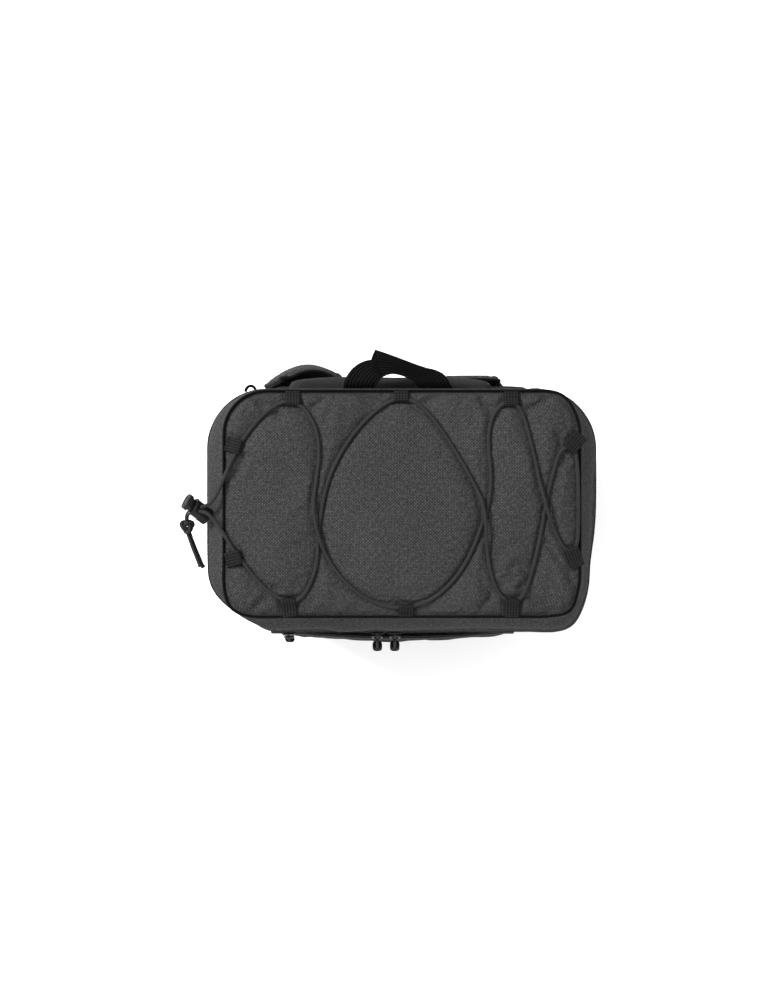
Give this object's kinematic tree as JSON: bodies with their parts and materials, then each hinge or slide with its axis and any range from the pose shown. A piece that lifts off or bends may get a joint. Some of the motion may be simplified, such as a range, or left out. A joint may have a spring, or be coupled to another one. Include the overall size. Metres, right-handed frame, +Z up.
{
  "type": "zip-top backpack with laced lid",
  "caption": "Structured upright backpack with a zip-round hinged lid laced with bungee cord, padded shoulder straps, pockets and a webbing handle.",
  "frame": {"origin": "centre of the base, on the surface that the bag stands on", "axes": "+Z up; +Y towards the back that carries the straps; +X to the right seen from the front"},
  "size_m": [0.389, 0.2778, 0.4351],
  "materials": {
    "lid_fabric": "woven two-tone polyester, dark grey",
    "body_fabric": "woven two-tone polyester, dark grey",
    "base_fabric": "coated woven polyester",
    "tab_webbing": "ribbed webbing, dark grey",
    "webbing": "ribbed webbing, black",
    "binding": "narrow woven binding",
    "mesh_padding": "padded spacer mesh",
    "yoke_padding": "padded woven fabric",
    "lining": "coated grey lining",
    "foam": "closed-cell foam",
    "board": "stiff sheet",
    "zipper_tape": "black tape",
    "zipper_coil": "black nylon coil",
    "bungee": "braided elastic cord, black",
    "hard_plastic": "moulded black plastic",
    "spring_steel": "plain",
    "slider_metal": "black lacquer",
    "pull_cord": "black cord with a moulded grip"
  },
  "bodies": {
    "shell": {"base_panel": "base_fabric", "base_band": "base_fabric", "base_board": "board", "outer_shell": "body_fabric", "foam_liner": "foam", "inner_lining": "lining", "zipper_tape_body": "zipper_tape", "zipper_coil_body": "zipper_coil", "zipper_end_loops": "webbing", "rear_hinge_strip": "body_fabric", "front_pocket": "body_fabric", "pocket_zipper_tape": "zipper_tape", "pocket_zipper_coil": "zipper_coil", "side_pocket_left": "body_fabric", "side_pocket_right": "body_fabric", "side_pocket_elastics": "binding", "back_pad": "mesh_padding", "harness_yoke": "yoke_padding", "handle_anchors": "webbing", "strap_anchors": "webbing", "adjuster_webbing_left": "webbing", "adjuster_webbing_right": "webbing"},
    "lid": {"lid_gusset": "body_fabric", "lid_top_panel": "lid_fabric", "lid_foam": "foam", "lid_lining": "lining", "lid_piping": "binding", "zipper_tape_lid": "zipper_tape", "zipper_coil_lid": "zipper_coil", "tab_rear_left": "tab_webbing", "tab_rear_centre": "tab_webbing", "tab_rear_right": "tab_webbing", "tab_front_left": "tab_webbing", "tab_front_centre": "tab_webbing", "tab_front_right": "tab_webbing", "tab_left_rear": "tab_webbing", "tab_left_front": "tab_webbing", "tab_right_rear": "tab_webbing", "tab_right_front": "tab_webbing", "bungee_cord": "bungee", "bungee_knot": "bungee", "bungee_tails": "bungee"},
    "cord_lock": {"cord_lock_barrel": "hard_plastic", "cord_lock_spring": "spring_steel"},
    "lock_button": {"cord_lock_button": "hard_plastic"},
    "lid_slider_left": {"lid_slider_left": "slider_metal"},
    "lid_pull_left": {"lid_pull_ring_left": "slider_metal", "lid_pull_cord_left": "pull_cord"},
    "lid_slider_right": {"lid_slider_right": "slider_metal"},
    "lid_pull_right": {"lid_pull_ring_right": "slider_metal", "lid_pull_cord_right": "pull_cord"},
    "pocket_slider": {"pocket_slider": "slider_metal"},
    "pocket_pull": {"pocket_pull_ring": "slider_metal", "pocket_pull_cord": "pull_cord"},
    "handle": {"carry_handle": "webbing"},
    "strap_left": {"strap_pad_left": "mesh_padding", "ladder_lock_left": "hard_plastic"},
    "strap_right": {"strap_pad_right": "mesh_padding", "ladder_lock_right": "hard_plastic"}
  },
  "joints": [
    {"name": "lid_hinge", "type": "hinge", "parent": "shell", "child": "lid", "pos_m": [0, 0.108, 0.379], "axis": [-1, 0, 0], "range_deg": [0, 95], "deforming": ["rear_hinge_strip"]},
    {"name": "cord_lock_slide", "type": "slide", "parent": "lid", "child": "cord_lock", "axis": [-0.6133, -0.0575, -0.7878], "range_m": [0, 0.003]},
    {"name": "lock_button_press", "type": "slide", "parent": "cord_lock", "child": "lock_button", "axis": [0.682, -0.5416, -0.4915], "range_m": [0, 0.004], "stiffness_N_per_m": 300, "springref_m": -0.003, "deforming": ["cord_lock_spring"]},
    {"name": "lid_slider_left_slide", "type": "slide", "parent": "shell", "child": "lid_slider_left", "axis": [-1, 0, 0], "range_m": [0, 0.088]},
    {"name": "lid_pull_left_swing", "type": "hinge", "parent": "lid_slider_left", "child": "lid_pull_left", "pos_m": [-0.022, -0.1133, 0.3797], "axis": [-1, 0, 0], "range_deg": [-4, 115]},
    {"name": "lid_slider_right_slide", "type": "slide", "parent": "shell", "child": "lid_slider_right", "axis": [1, 0, 0], "range_m": [0, 0.11]},
    {"name": "lid_pull_right_swing", "type": "hinge", "parent": "lid_slider_right", "child": "lid_pull_right", "pos_m": [-0.006, -0.1133, 0.3797], "axis": [-1, 0, 0], "range_deg": [-4, 115]},
    {"name": "pocket_slider_slide", "type": "slide", "parent": "shell", "child": "pocket_slider", "axis": [1, 0, 0], "range_m": [0, 0.2]},
    {"name": "pocket_pull_swing", "type": "hinge", "parent": "pocket_slider", "child": "pocket_pull", "pos_m": [-0.104, -0.11704, 0.34095], "axis": [-1, 0, 0], "range_deg": [0, 110]},
    {"name": "carry_handle_swing", "type": "hinge", "parent": "shell", "child": "handle", "pos_m": [-0.004, 0.1103, 0.372], "axis": [-1, 0, 0], "range_deg": [-85, 30]},
    {"name": "strap_left_swing", "type": "hinge", "parent": "shell", "child": "strap_left", "pos_m": [-0.082, 0.1186, 0.3], "axis": [1, 0, 0], "range_deg": [0, 20], "deforming": ["adjuster_webbing_left"]},
    {"name": "strap_right_swing", "type": "hinge", "parent": "shell", "child": "strap_right", "pos_m": [0.062, 0.1186, 0.3], "axis": [1, 0, 0], "range_deg": [0, 20], "deforming": ["adjuster_webbing_right"]}
  ]
}
